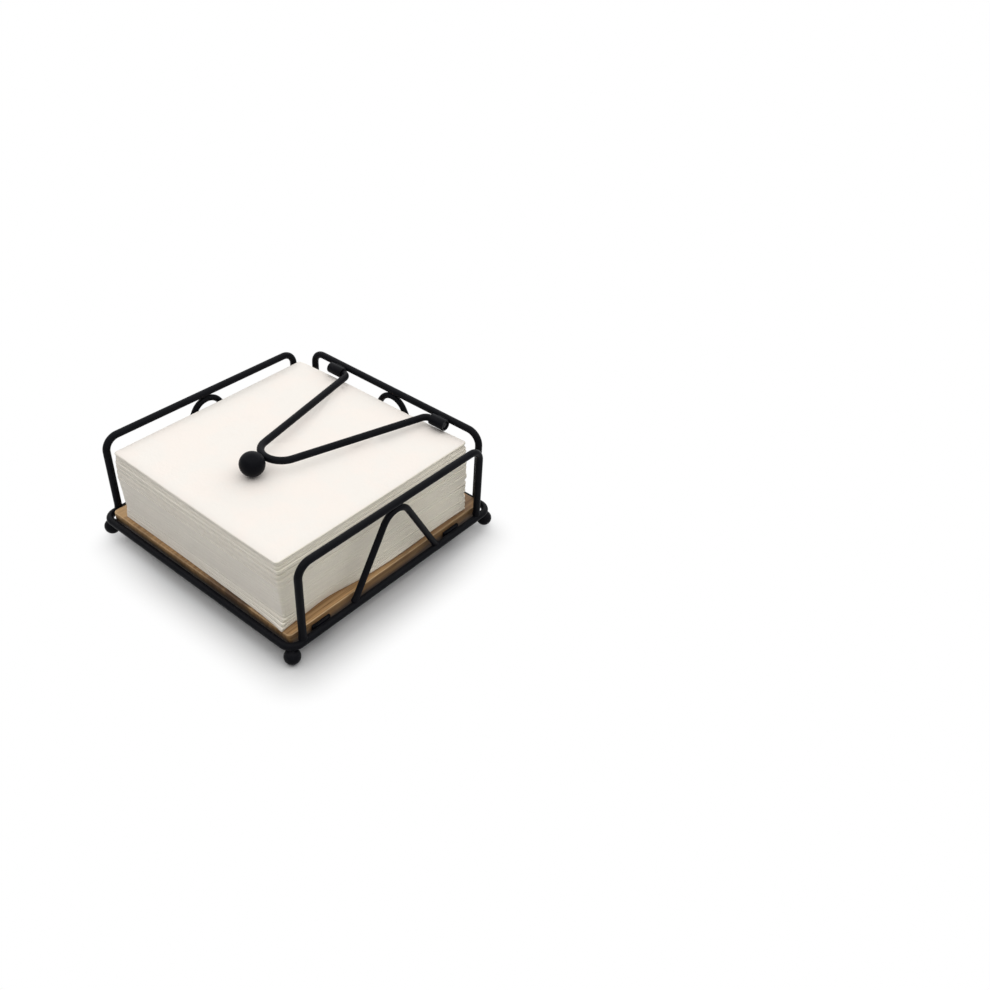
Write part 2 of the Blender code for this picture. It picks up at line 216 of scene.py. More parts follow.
def bent_path(corners, radii, closed=False):
    """Straight runs joined by arcs, as even steps along their length, finer at open ends.

    At a corner with unit directions b back and a ahead, the arc's centre is the corner plus
    the unit of (a + b) times r / cos(turn / 2), and a point of the arc is
    centre + r (e cos t - b sin t), where e points from the centre to the arc's start.
    """
    corners = np.asarray(corners, float)
    count = len(corners)
    radii = np.broadcast_to(radii, count)
    runs = []
    for index in range(count):
        here = corners[index]
        if not closed and index in (0, count - 1):
            runs.append(here[None])
            continue
        back = unit(corners[index - 1] - here)
        ahead = unit(corners[(index + 1) % count] - here)
        turn = np.pi - np.arccos(np.clip(back @ ahead, -1, 1))
        centre = here + unit(back + ahead) * radii[index] / np.cos(turn / 2)
        start = unit(here + back * radii[index] * np.tan(turn / 2) - centre)
        angle = np.linspace(0, turn, ARC_STEPS)[:, None]
        runs.append(centre + radii[index] * (start * np.cos(angle) - back * np.sin(angle)))
    path = np.concatenate(runs)
    if closed:
        path = np.concatenate([path, path[:1]])
    travelled = lengths_along(path)
    even = np.arange(0, travelled[-1], PATH_STEP)
    ends = np.concatenate([END_RUN, travelled[-1] - END_RUN])
    stations = even if closed else np.unique(np.round(np.concatenate([even, ends]), 6))
    return np.stack([np.interp(stations, travelled, path[:, axis]) for axis in range(3)], -1)


def carry(path, outline, across, scale=1.0, closed=False):
    """A flat outline carried along a path that lies in one plane.

    With tangent t and the plane's normal n, an outline point (u, v) lands at
    p + s (u (n x t) + v n), where s is the scale at that place.
    """
    if closed:
        tangent = np.roll(path, -1, 0) - np.roll(path, 1, 0)
    else:
        tangent = np.gradient(path, axis=0)
    across = unit(np.asarray(across, float))
    beside = unit(np.cross(across, tangent))
    scale = np.asarray(scale, float).reshape(len(np.atleast_1d(scale)), -1)
    scale = np.broadcast_to(scale, (len(path), len(outline)))
    sideways = (scale * outline[:, 0])[:, :, None] * beside[:, None]
    upward = (scale * outline[:, 1])[:, :, None] * across
    return path[:, None] + sideways + upward


def turned(section, origin, axis, sides):
    """A section of (distance along the axis, radius) turned once about the axis."""
    axis = unit(np.asarray(axis, float))
    first = unit(np.cross(axis, ASLANT))
    round_axis = circle(sides) @ np.stack([first, np.cross(axis, first)])
    section = np.asarray(section, float)
    return np.asarray(origin) + section[:, None, :1] * axis + section[:, None, 1:] * round_axis


def necked(ball, end, waist, spread, taper=0.0):
    """A ball's section run on into a neck, whose radius shrinks by waist sin(pi min(k s, 1)) + taper s.

    Here s goes from 0 at the ball to 1 at the neck's end, and k is the spread.
    """
    rise = np.linspace(0, 1, 14)[1:]
    place = ball[-1, 0] + (end - ball[-1, 0]) * rise
    shrunk = waist * np.sin(np.pi * np.minimum(rise * spread, 1)) + taper * rise
    return np.concatenate([ball, np.stack([place, ball[-1, 1] - shrunk], -1)])


def bead(centre, along, beside, half_length, half_width, half_height):
    """A weld bead: a rippled ellipse carried along its length, swelling as the root of 1 - s**4."""
    along = unit(np.asarray(along, float))
    place = np.linspace(-0.995, 0.995, 40)
    ripple = np.cos(place * half_length * 2 * np.pi / BEAD_RIPPLE)
    swell = np.sqrt(1 - place ** 4) * (1 + 0.05 * ripple)
    path = np.asarray(centre) + place[:, None] * half_length * along
    outline = circle(18) * [half_width, half_height]
    return carry(path, outline, np.cross(along, beside), swell)


def rounded_rectangle(half_x, half_y, corner, per_side, per_corner):
    """Points and outward normals round a rectangle with arcs at its corners, anticlockwise."""
    angle = np.linspace(0, np.pi / 2, per_corner)
    points, normals = [], []
    for quarter, (sign_x, sign_y) in enumerate(((1, 1), (-1, 1), (-1, -1), (1, -1))):
        turn = angle + quarter * np.pi / 2
        normal = np.stack([np.cos(turn), np.sin(turn)], -1)
        points.append(normal * corner + [sign_x * (half_x - corner), sign_y * (half_y - corner)])
        normals.append(normal)
    run = np.linspace(0, 1, per_side + 2)[1:-1, None]
    filled, facing = [], []
    for index in range(4):
        last, after = points[index][-1], points[(index + 1) % 4][0]
        filled += [points[index], last + (after - last) * run]
        facing += [normals[index], np.repeat(normals[index][-1:], per_side, 0)]
    return np.concatenate(filled), np.concatenate(facing)


def shell(points, closed=False):
    """Faces of a grid of rows round a closed outline: quads between rows, and a cap on each open end.

    The order of the corners follows the sign of the volume, the sum of p . (q x r) / 6 over its
    triangles, so that the faces point outwards.
    """
    rows, columns = points.shape[:2]
    grid = np.arange(rows * columns).reshape(rows, columns)
    if closed:
        grid = np.concatenate([grid, grid[:1]])
    beside = np.roll(grid, -1, 1)
    quads = np.stack([grid[:-1], beside[:-1], beside[1:], grid[1:]], -1).reshape(-1, 4)
    caps = [] if closed else [grid[0][::-1], grid[-1]]
    vertices = points.reshape(-1, 3)
    centred = vertices - vertices.mean(0)
    a, b, c, d = (centred[quads[:, corner]] for corner in range(4))
    volume = np.sum(a * np.cross(b, c)) + np.sum(a * np.cross(c, d))
    if volume < 0:
        quads = quads[:, ::-1]
        caps = [cap[::-1] for cap in caps]
    return vertices, quads, caps


def placed(name, data):
    """A new object in the scene."""
    made = bpy.data.objects.new(name, data)
    bpy.context.scene.collection.objects.link(made)
    return made


def piece(name, shells, finish, body, nodes, marks=None, crease=CREASE):
    """One finished object from several grids, riding on a body and standing for CAD nodes.

    Marks are named values for each point of the grids, in the same order.
    """
    vertices, faces, first = [], [], 0
    for grid, closed in shells:
        points, quads, caps = shell(grid, closed)
        vertices.append(points)
        faces += (quads + first).tolist() + [(cap + first).tolist() for cap in caps]
        first += len(points)
    mesh = bpy.data.meshes.new(name)
    mesh.from_pydata(np.concatenate(vertices), [], faces)
    for label, grids in (marks or {}).items():
        mark = mesh.attributes.new(label, "FLOAT", "POINT")
        values = np.concatenate([np.ravel(grid) for grid in grids])
        mark.data.foreach_set("value", values.astype(np.float32))
    mesh.polygons.foreach_set("use_smooth", np.ones(len(mesh.polygons), bool))
    mesh.set_sharp_from_angle(angle=math.radians(crease))
    mesh.materials.append(finish)
    mesh.validate()
    made = placed(name, mesh)
    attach(made, body)
    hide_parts(*nodes)
    return made


# Materials.

class Tone:
    """A socket in an expression: arithmetic on it adds Math nodes, and add() brings in any other node."""

    def __init__(self, tree, socket=None):
        self.tree = tree
        self.socket = socket

    def add(self, kind, settings=None, sockets=None, output=0):
        """A node of this kind, its settings first, then the values or links of its sockets."""
        node = self.tree.nodes.new(kind)
        for key, value in (settings or {}).items():
            setattr(node, key, value)
        for key, value in (sockets or {}).items():
            if isinstance(value, Tone):
                self.tree.links.new(value.socket, node.inputs[key])
            else:
                node.inputs[key].default_value = value
        return Tone(self.tree, node.outputs[output] if len(node.outputs) else None)

    def math(self, operation, first, second):
        """One step of arithmetic."""
        return self.add("ShaderNodeMath", {"operation": operation}, {0: first, 1: second})

    def __add__(self, other):
        return self.math("ADD", self, other)

    def __sub__(self, other):
        return self.math("SUBTRACT", self, other)

    def __rsub__(self, other):
        return self.math("SUBTRACT", other, self)

    def __mul__(self, other):
        return self.math("MULTIPLY", self, other)

    __radd__ = __add__
    __rmul__ = __mul__

    def step(self, low, high):
        """0 below low and 1 above high, with a smooth rise between."""
        return self.add(
            "ShaderNodeMapRange", {"interpolation_type": "SMOOTHSTEP"},
            {"Value": self, "From Min": low, "From Max": high},
        )

    def vector(self, operation, other=None, output=0):
        """One step of vector arithmetic."""
        sockets = {0: self} if other is None else {0: self, 1: other}
        return self.add("ShaderNodeVectorMath", {"operation": operation}, sockets, output)

    def stretched(self, *scale):
        """The vector with each axis multiplied."""
        return self.vector("MULTIPLY", scale)

    def axis(self, letter):
        """One coordinate of the vector."""
        return self.add("ShaderNodeSeparateXYZ", None, {0: self}, letter)

    def mark(self, name):
        """A value that the piece's own mesh carries at each point."""
        return self.add("ShaderNodeAttribute", {"attribute_name": name}, None, "Fac")

    def noise(self, scale, detail, roughness=0.5):
        """Smooth noise at the vector, so many waves to the metre."""
        sockets = {"Vector": self, "Scale": scale, "Detail": detail, "Roughness": roughness}
        return self.add("ShaderNodeTexNoise", None, sockets)

    def blend(self, first, second):
        """The first colour where this value is 0, the second where it is 1."""
        first, second = (tint if isinstance(tint, Tone) else (*tint, 1.0) for tint in (first, second))
        return self.add("ShaderNodeMix", {"data_type": "RGBA"}, {0: self, 6: first, 7: second}, 2)


def new_finish(name):
    """An empty material, its starting tone and its Object coordinates."""
    material = bpy.data.materials.new(name)
    material.use_nodes = True
    material.node_tree.nodes.clear()
    start = Tone(material.node_tree)
    return material, start, start.add("ShaderNodeTexCoord", None, None, "Object")


def surface(start, sockets):
    """A Principled surface as the material's output."""
    shade = start.add("ShaderNodeBsdfPrincipled", None, sockets)
    start.add("ShaderNodeOutputMaterial", None, {"Surface": shade})


def bumped(start, height, strength, distance):
    """A normal raised by a height."""
    sockets = {"Height": height, "Strength": strength, "Distance": distance}
    return start.add("ShaderNodeBump", None, sockets, "Normal")


def black_paint():
    """Satin black paint: cloudy depth of colour, fine orange peel and steel at rubbed rims."""
    kept = bpy.data.materials.get("satin_black_paint")
    if kept:
        return kept
    look = bpy.context.scene.holder_wire
    material, start, place = new_finish("satin_black_paint")
    cloud = place.noise(70.0, 3.0)
    peel = place.noise(1250.0, 2.0)
    grit = place.noise(4200.0, 1.0)
    thin = (cloud * 0.7 + peel * 0.5).step(0.42, 0.86)
    rub = start.mark("rub")
    rubbed = (rub * (0.35 + place.noise(650.0, 3.0))).step(0.42, 0.75)
    tint = rubbed.blend(thin.blend(look.paint, look.paint_worn), look.bare_steel)
    surface(start, {
        "Base Color": tint,
        "Roughness": 0.20 + cloud * 0.16 + peel * 0.08 - rubbed * 0.05,
        "Metallic": rubbed * 0.6,
        "Specular IOR Level": 0.032,
        "Normal": bumped(start, peel + grit * 0.35, 0.16, 0.00022),
    })
    return material


# Places on the board where its colour changes, each as the two ends of a smooth rise.
FRONT_FACE = (-0.0894, -0.0880)
FRONT_MARGIN = (-0.0880, -0.0840)
# Painted shade on the right margin, towards the rear and beside the napkins.
RIGHT_MARGIN = (0.0720, 0.0790)
BESIDE_NAPKINS = (0.0805, 0.0850)
REAR_HALF = (-0.030, 0.025)
PALER_LEFT = (-0.086, -0.070)
# Painted shade along the front margin, deepest towards the front corner.
FRONT_SHADE_SPAN = (-0.078, -0.060)
DEEP_SHADE_START = (0.004, 0.034)
DEEP_SHADE_END = (0.066, 0.080)
SHADE_TOP = (0.0112, 0.0156)


def oiled_wood():
    """Flat-sawn wood along Y: wandering growth bands, fine fibre, open pores and pale eased edges, partly
    from wear and partly a painted highlight.

    Painted shade darkens the bare margins, along the front most deeply towards the front corner, and at the
    right towards the rear and beside the napkins. The wood is paler towards the left edge, and painted
    shade darkens the lower part of the sides.
    """
    look = bpy.context.scene.holder_board
    material, start, place = new_finish("oiled_wood")
    along = place.stretched(1.0, 0.055, 1.0)
    wander = along.noise(26.0, 3.0)
    bands = start.add(
        "ShaderNodeTexWave", {"wave_type": "BANDS", "bands_direction": "X"},
        {"Vector": along, "Scale": 72.0, "Distortion": 9.0, "Detail": 2.5, "Detail Scale": 1.3}, "Fac",
    )
    fibre = place.stretched(1.0, 0.022, 1.0).noise(900.0, 4.0, 0.62)
    pores = place.stretched(1.0, 0.03, 1.0).noise(1500.0, 2.0).step(0.60, 0.68)
    late = (bands * 0.20 + fibre * 0.62 + wander * 0.52).step(0.40, 1.02)
    wood = late.blend(look.pale_wood, look.dark_wood)
    wood = (pores * 0.55).blend(wood, look.pore)
    edge = start.mark("arris")
    # Paler along the eased edges: partly wear, partly a painted highlight.
    edge_tone = (edge * (0.45 + wander * 0.8)).step(0.35, 0.95)
    x, y, z = (place.axis(letter) for letter in "XYZ")
    front = 1 - y.step(*FRONT_FACE)
    margin = 1 - y.step(*FRONT_MARGIN)
    paler_left = 1 - x.step(*PALER_LEFT)
    level = z + (place.noise(19.0, 1.0) - 0.5) * 0.003
    # Painted shade on the bare margins, broken up by patches: along the front and at the right.
    sideways = x + (place.noise(60.0, 2.0) - 0.5) * 0.030
    dark = sideways.step(*DEEP_SHADE_START) * (1 - sideways.step(*DEEP_SHADE_END))
    front_shade = sideways.step(*FRONT_SHADE_SPAN) * 0.45 + dark * 0.5
    beside = 1 - x.step(*BESIDE_NAPKINS)
    right_shade = x.step(*RIGHT_MARGIN) * (0.52 * y.step(*REAR_HALF) + 0.34 * beside)
    patches = place.noise(44.0, 2.0).step(0.36, 0.62)
    margin_shade = margin * front_shade * (0.40 + patches * 0.85) + right_shade * (0.65 + patches * 0.4)
    # Painted shade: darker towards the bottom of the sides, reaching higher on the front face.
    shaded_low = 1 - (level - front * 0.0022).step(*SHADE_TOP)
    # Paler along the eased edges, partly wear and partly a painted highlight, and paler towards the left
    # edge.
    wood = (edge_tone * 0.75 + paler_left * 0.45).blend(wood, look.pale_edge)
    # Painted shade on the bare margins.
    wood = margin_shade.blend(wood, look.margin_shade)
    # Painted shade on the lower part of the sides.
    wood = (shaded_low * 0.94).blend(wood, look.stain)
    surface(start, {
        "Base Color": wood,
        "Roughness": 0.46 + fibre * 0.2 + pores * 0.15,
        "Specular IOR Level": 0.35,
        "Normal": bumped(start, fibre * 0.6 - pores * 0.9 + bands * 0.2, 0.22, 0.0004),
    })
    return material


def white_tissue():
    """Soft tissue: mottled pulp, fine dimples, and layered leaf edges on the sides of the pile, which
    painted shade darkens in fine lines, streaks and blotches.
    """
    kept = bpy.data.materials.get("white_tissue")
    if kept:
        return kept
    look = bpy.context.scene.holder_napkins
    material, start, place = new_finish("white_tissue")
    pulp = place.noise(95.0, 4.0, 0.6)
    fibre = place.stretched(1.0, 0.5, 1.0).noise(1900.0, 3.0, 0.65)
    dimple = start.add(
        "ShaderNodeTexVoronoi", {"feature": "SMOOTH_F1"},
        {"Vector": place, "Scale": 520.0, "Smoothness": 0.6}, "Distance",
    )
    edge = start.mark("edge")
    tone = start.mark("tone")
    leaves = place.stretched(0.012, 0.012, 1.0).noise(2100.0, 2.0, 0.7)
    streak = place.stretched(0.07, 0.07, 1.0).noise(330.0, 3.0, 0.55)
    hollow = (0.45 * pulp + 0.35 * fibre + 0.25 * tone).step(0.48, 0.90)
    patch = place.noise(42.0, 3.0, 0.6).step(0.38, 0.62)
    face = (hollow * 0.42).blend(patch.blend(look.tissue, look.tissue_cool), look.tissue_shade)
    cut = start.mark("cut")
    # Painted shade on the sides of the pile: fine lines between the leaves, soft streaks and blotches
    # darken them towards the shade colour.
    edge_tone = (0.22 * leaves + 0.55 * streak + 0.35 * pulp + 0.12 * tone).step(0.42, 0.98)
    side = (edge_tone * 0.6).blend(cut.blend(look.tissue_edge, look.tissue_cut), look.tissue_shade)
    height = (1 - edge) * (dimple * 0.8 + fibre * 0.6) + edge * (leaves * 0.35 + streak * 0.5 + fibre * 0.5)
    surface(start, {
        "Base Color": (edge * 0.85).blend(face, side),
        "Roughness": 0.90 + fibre * 0.08,
        "Specular IOR Level": 0.18,
        "Sheen Weight": 0.06,
        "Normal": bumped(start, height, 0.20, 0.0004),
    })
    return material


# Wirework. A weld is given by half its length, width and height.

STRAP_WELD = (0.0058, 0.0009, 0.0012)
BRACE_WELD = (0.0040, 0.0012, 0.0010)
SLEEVE_WELD = (0.0011, 0.0021)
WELD_RIPPLE = 0.0016
WELD_GAP = 0.0003
FOOT_SIDES = 40
FOOT_NECK = 0.40
FOOT_WAIST = 0.0006
FOOT_RUB = 0.0009
SLEEVE_SIDES = 44
SLEEVE_RIM = 0.00045
SLEEVE_RUB = 0.0006
PIN_EASE = 0.0006
PIN_RUB = 0.002
BALL_SIDES = 56
BALL_NECK = 0.30
BALL_WAIST = 0.0007
BALL_TAPER = 0.0004


def frame_piece(name, shells, node, marks=None, crease=CREASE):
    """A painted piece of the welded frame, in place of its CAD node."""
    return piece(name, shells, black_paint(), "frame", [node], marks, crease)


def wire(path, radius, across, swell):
    """A round wire whose two ends are run into a weld on the ring.

    At distance s from an end, the radius is R (0.5 + 0.5 smoothstep(s / w)) plus the swell
    times exp(-((s - w) / 0.7 w)**2), where w is the ring's own wire radius, with fine ripples on the weld.
    """
    travelled = lengths_along(path)
    distance = np.minimum(travelled, travelled[-1] - travelled)
    inside = np.clip(distance / RING_WIRE, 0, 1)
    heap = hump(distance, RING_WIRE, 0.7 * RING_WIRE)
    size = radius * (0.5 + 0.5 * inside ** 2 * (3 - 2 * inside)) + swell * heap
    angle = np.linspace(0, 2 * np.pi, SIDES, endpoint=False)
    run = distance[:, None] * 2 * np.pi / WELD_RIPPLE
    wave = np.sin(3 * angle + 1.3) + 0.7 * np.sin(5 * angle + run)
    ripple = 0.16 * swell * heap[:, None] * wave
    return carry(path, circle(), across, size[:, None] + ripple)


def side_plane(node):
    """An upright frame's middle, direction along it, normal, wire radius, half width and top."""
    low, high = box_of(node)
    along = np.array([1.0, 0, 0]) if high[0] - low[0] > high[1] - low[1] else np.array([0, 1.0, 0])
    across = np.array([along[1], along[0], 0])
    radius = (high - low) @ across / 2
    middle = (low + high) / 2 * [1, 1, 0]
    half = (high - low) @ along / 2 - radius
    return middle, along, across, radius, half, high[2] - radius


def fillet_vertex(half_width, apex, radius):
    """Distance to the sharp point of a V whose tip is rounded to lie at the apex distance.

    With half width w and c = apex - radius, the leg's angle is atan(w / c) - asin(radius / hypot(w, c)),
    and the sharp point lies w / tan(angle) away.
    """
    centre = apex - radius
    leg = math.atan2(half_width, centre) - math.asin(radius / math.hypot(half_width, centre))
    return half_width / math.tan(leg)


class HOLDER_OT_base_ring(bpy.types.Operator):
    """Bend the base ring, a square of wire with round corners"""

    bl_idname = "holder.base_ring"
    bl_label = "Base Ring"

    def execute(self, context):
        look = context.scene.holder_wire
        left, front = RING_LOW[:2] + RING_WIRE
        right, rear = RING_HIGH[:2] - RING_WIRE
        corners = ((left, front), (right, front), (right, rear), (left, rear))
        path = bent_path([(*corner, RING_Z) for corner in corners], look.ring_corner, closed=True)
        grid = carry(path, circle(), UP, RING_WIRE, closed=True)
        frame_piece("wire_base_ring", [(grid, True)], "base_ring")
        return {"FINISHED"}


class HOLDER_OT_feet(bpy.types.Operator):
    """Turn the four ball feet, each flattened where it stands and run into a weld under the ring"""

    bl_idname = "holder.feet"
    bl_label = "Ball Feet"

    def execute(self, context):
        for corner in ("front_left", "front_right", "rear_left", "rear_right"):
            node = f"foot_ball_{corner}"
            low, high = box_of(node)
            radius = (high[0] - low[0]) / 2
            centre_z = high[2] - radius
            start = math.acos(min(1.0, (centre_z - low[2]) / radius))
            # The ball's section is (z + r cos t, r sin t), from the rim of its flat up to its neck.
            angle = np.linspace(np.pi - start, FOOT_NECK, 34)
            ball = np.stack([centre_z + radius * np.cos(angle), radius * np.sin(angle)], -1)
            flat = np.array([[low[2], 0.0004], [low[2], ball[0, 1] * 0.7]])
            section = np.concatenate([flat, necked(ball, RING_Z, FOOT_WAIST, 1.6)])
            middle = (low + high) / 2
            grid = turned(section, (middle[0], middle[1], 0), UP, FOOT_SIDES)
            rub = np.clip(1.2 - (section[:, :1] - low[2]) / FOOT_RUB, 0, 1)
            rub = np.repeat(rub, FOOT_SIDES, 1)
            frame_piece(f"turned_foot_{corner}", [(grid, False)], node, {"rub": [rub]})
        return {"FINISHED"}


class HOLDER_OT_straps(bpy.types.Operator):
    """Fold the two flat straps under the board and weld their turned-up ends to the ring"""

    bl_idname = "holder.straps"
    bl_label = "Cross Straps"

    def execute(self, context):
        look = context.scene.holder_wire
        half = look.strap_thickness / 2
        for place in ("front", "rear"):
            node = f"cross_strap_{place}"
            low, high = box_of(node)
            y = (low[1] + high[1]) / 2
            left, right, base = low[0] + half, high[0] - half, low[2] + half
            corners = [(left, y, high[2]), (left, y, base), (right, y, base), (right, y, high[2])]
            path = bent_path(corners, look.strap_bend)
            outline, _ = rounded_rectangle(half, (high[1] - low[1]) / 2, half * 0.6, 5, 5)
            shells = [(carry(path, outline, (0, 1, 0)), False)]
            for sign, x in ((-1, left), (1, right)):
                seam = (x + sign * half, y, RING_Z + RING_WIRE * 0.72)
                shells.append((bead(seam, (0, 1, 0), (1, 0, 0), *STRAP_WELD), False))
            frame_piece(f"folded_strap_{place}", shells, node)
        return {"FINISHED"}


# Rows of the board's surface beside its eased edges, and the depth of the edges' wear.
FLAT_ROWS = (0.0022, 0.0012)
SIDE_ROWS = (0.0016, 0.0013)
BOARD_WEAR = 0.00012


class HOLDER_OT_board(bpy.types.Operator):
    """Cut the wooden board with round corners and eased edges"""

    bl_idname = "holder.board"
    bl_label = "Base Board"

    def execute(self, context):
        look = context.scene.holder_board
        low, high = box_of("base_board")
        half = (high - low)[:2] / 2
        points, normals = rounded_rectangle(half[0], half[1], look.corner, 60, 10)
        # An eased edge is a quarter round: inset a (1 - sin e) and drop a (1 - cos e).
        ease = np.linspace(0, np.pi / 2, 6)
        inset = look.arris * (1 - np.sin(ease))
        drop = look.arris * (1 - np.cos(ease))
        inner = np.array(FLAT_ROWS)
        insets = np.concatenate([inner, inset, [0, 0, 0], inset[::-1], inner[::-1]])
        side = np.array([low[2] + SIDE_ROWS[0], (low[2] + high[2]) / 2, high[2] - SIDE_ROWS[1]])
        heights = np.concatenate([[low[2]] * 2, low[2] + drop, side, high[2] - drop[::-1], [high[2]] * 2])
        travelled = lengths_along(np.concatenate([points, points[:1]]))[:-1]
        wear = np.sin(travelled * 190) + np.sin(travelled * 431 + 1) + np.sin(travelled * 83 + 2)
        wear = np.abs(BOARD_WEAR * wear)
        eased = np.concatenate([[0, 0], np.ones(len(insets) - 4), [0, 0]])[:, None]
        outline = points[None] - normals[None] * (insets[:, None] + wear * eased * 0.5)[:, :, None]
        heights = np.broadcast_to(heights[:, None, None], outline.shape[:2] + (1,))
        grid = np.concatenate([outline, heights], -1)
        rounded = np.array([0.5, 0.8, 1, 1, 0.8, 0.5])
        shelf = np.concatenate([[0, 0], rounded, [0, 0, 0], rounded, [0, 0]])
        marks = {"arris": [np.repeat(shelf[:, None], len(points), 1)]}
        piece("oiled_base_board", [(grid, False)], oiled_wood(), "frame", ["base_board"], marks)
        return {"FINISHED"}


class HOLDER_OT_rails(bpy.types.Operator):
    """Bend the three rails, each an inverted U whose legs are welded to the ring"""

    bl_idname = "holder.rails"
    bl_label = "Rails"

    def execute(self, context):
        look = context.scene.holder_wire
        for side in ("left", "rear", "right"):
            node = f"{side}_rail"
            middle, along, across, radius, half, top = side_plane(node)
            foot = middle + UP * RING_Z
            head = middle + UP * top
            corners = [foot - along * half, head - along * half, head + along * half, foot + along * half]
            path = bent_path(corners, look.rail_bend)
            grid = wire(path, radius, across, look.weld_swell)
            frame_piece(f"bent_rail_{side}", [(grid, False)], node)
        return {"FINISHED"}


class HOLDER_OT_braces(bpy.types.Operator):
    """Bend the three braces, each an inverted V of thinner wire welded under its rail"""

    bl_idname = "holder.braces"
    bl_label = "Braces"

    def execute(self, context):
        look = context.scene.holder_wire
        half = look.brace_span / 2
        for side in ("left", "rear", "right"):
            node = f"{side}_brace"
            middle, along, across, radius, _, top = side_plane(node)
            tip = fillet_vertex(half, top - RING_Z, look.brace_bend)
            foot = middle + UP * RING_Z
            path = bent_path([foot - along * half, foot + UP * tip, foot + along * half], look.brace_bend)
            grid = wire(path, radius, across, look.weld_swell)
            _, _, _, bar_radius, _, bar_top = side_plane(f"{side}_rail")
            seam = middle + UP * (top + radius + bar_top - bar_radius) / 2
            weld = bead(seam, along, across, *BRACE_WELD)
            frame_piece(f"bent_brace_{side}", [(grid, False), (weld, False)], node)
        return {"FINISHED"}


class HOLDER_OT_sleeves(bpy.types.Operator):
    """Turn the two hinge sleeves and weld them to the rear rail"""

    bl_idname = "holder.sleeves"
    bl_label = "Hinge Sleeves"

    def execute(self, context):
        look = context.scene.holder_wire
        bar_middle, _, _, _, _, bar_top = side_plane("rear_rail")
        bar = bar_middle + UP * bar_top
        ease = np.linspace(0, np.pi / 2, 6)
        for side in ("left", "right"):
            node = f"hinge_sleeve_{side}"
            low, high = box_of(node)
            middle = (low + high) / 2
            half = (high[0] - low[0]) / 2
            outer = (high[2] - low[2]) / 2
            # A rim is two quarter rounds, the outer one and the one that leads into the bore.
            rise, fall = SLEEVE_RIM * np.sin(ease), SLEEVE_RIM * np.cos(ease)
            ends = half - SLEEVE_RIM + np.concatenate([rise, fall])
            radii = np.concatenate([outer - SLEEVE_RIM + fall, look.sleeve_bore + SLEEVE_RIM - rise])
            right = np.stack([ends, radii], -1)
            section = np.concatenate([right, right[::-1] * [-1, 1]])
            grid = turned(section, middle, (1, 0, 0), SLEEVE_SIDES)
            reach = unit((bar - middle) * [0, 1, 1])
            seam = middle + reach * (outer + WELD_GAP / 2)
            weld = bead(seam, (1, 0, 0), reach, half * 0.86, *SLEEVE_WELD)
            rub = np.clip((np.abs(section[:, :1]) - half + SLEEVE_RUB) / SLEEVE_RUB, 0, 1)
            marks = {"rub": [np.repeat(rub, SLEEVE_SIDES, 1), np.zeros(weld.shape[:2])]}
            frame_piece(f"turned_sleeve_{side}", [(grid, True), (weld, False)], node, marks, 60.0)
        return {"FINISHED"}


class HOLDER_OT_arm(bpy.types.Operator):
    """Bend the arm, whose turned-out ends are the hinge pins, and weld the ball to its nose"""

    bl_idname = "holder.arm"
    bl_label = "Weighted Arm"

    def execute(self, context):
        look = context.scene.holder_arm
        low, high = box_of("weight_ball")
        ball, radius = (low + high) / 2, (high[0] - low[0]) / 2
        reach = np.linalg.norm(ball - HINGE)
        ahead = (ball - HINGE) / reach
        side = np.array([1.0, 0, 0])
        apex = reach - radius - look.nose_gap - look.wire_radius
        root = look.root_width / 2
        tip = fillet_vertex(root, apex, look.bend)
        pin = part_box("weight_arm")[1][0]
        bends = ((-pin, 0), (-root, 0), (0, tip), (root, 0), (pin, 0))
        corners = [HINGE + side * across + ahead * out for across, out in bends]
        path = bent_path(corners, [0, look.elbow, look.bend, look.elbow, 0])
        travelled = lengths_along(path)
        distance = np.minimum(travelled, travelled[-1] - travelled)
        # The pins' ends are quarter rounds: the radius loses p (1 - sqrt(1 - (1 - e)**2)).
        ease = np.clip(distance / PIN_EASE, 0, 1)
        size = look.wire_radius - PIN_EASE * (1 - np.sqrt(1 - (1 - ease) ** 2))
        grid = carry(path, circle(), np.cross(side, ahead), size)
        rub = np.clip(1.3 - distance / PIN_RUB, 0, 1)
        marks = {"rub": [np.repeat(rub[:, None], SIDES, 1)]}
        arm = piece(
            "bent_weight_arm", [(grid, False)], black_paint(), "arm", ["weight_arm"], marks
        )
        # The broad light washes out the shadow that so thin a wire would throw on the paper.
        arm.visible_shadow = False

        angle = np.linspace(0.012, np.pi - BALL_NECK, 60)
        globe = np.stack([radius * np.cos(angle), radius * np.sin(angle)], -1)
        end = apex + look.wire_radius * 0.2 - reach
        section = necked(globe, end, BALL_WAIST, 1.3, BALL_TAPER)
        grid = turned(section, ball, ahead, BALL_SIDES)
        piece("welded_weight_ball", [(grid, False)], black_paint(), "arm", ["weight_ball"])
        return {"FINISHED"}


# Napkins. Seams lie at depths below the top of the pile, where one loose bundle meets the next. A bell
# along Y is given by its middle and its width.

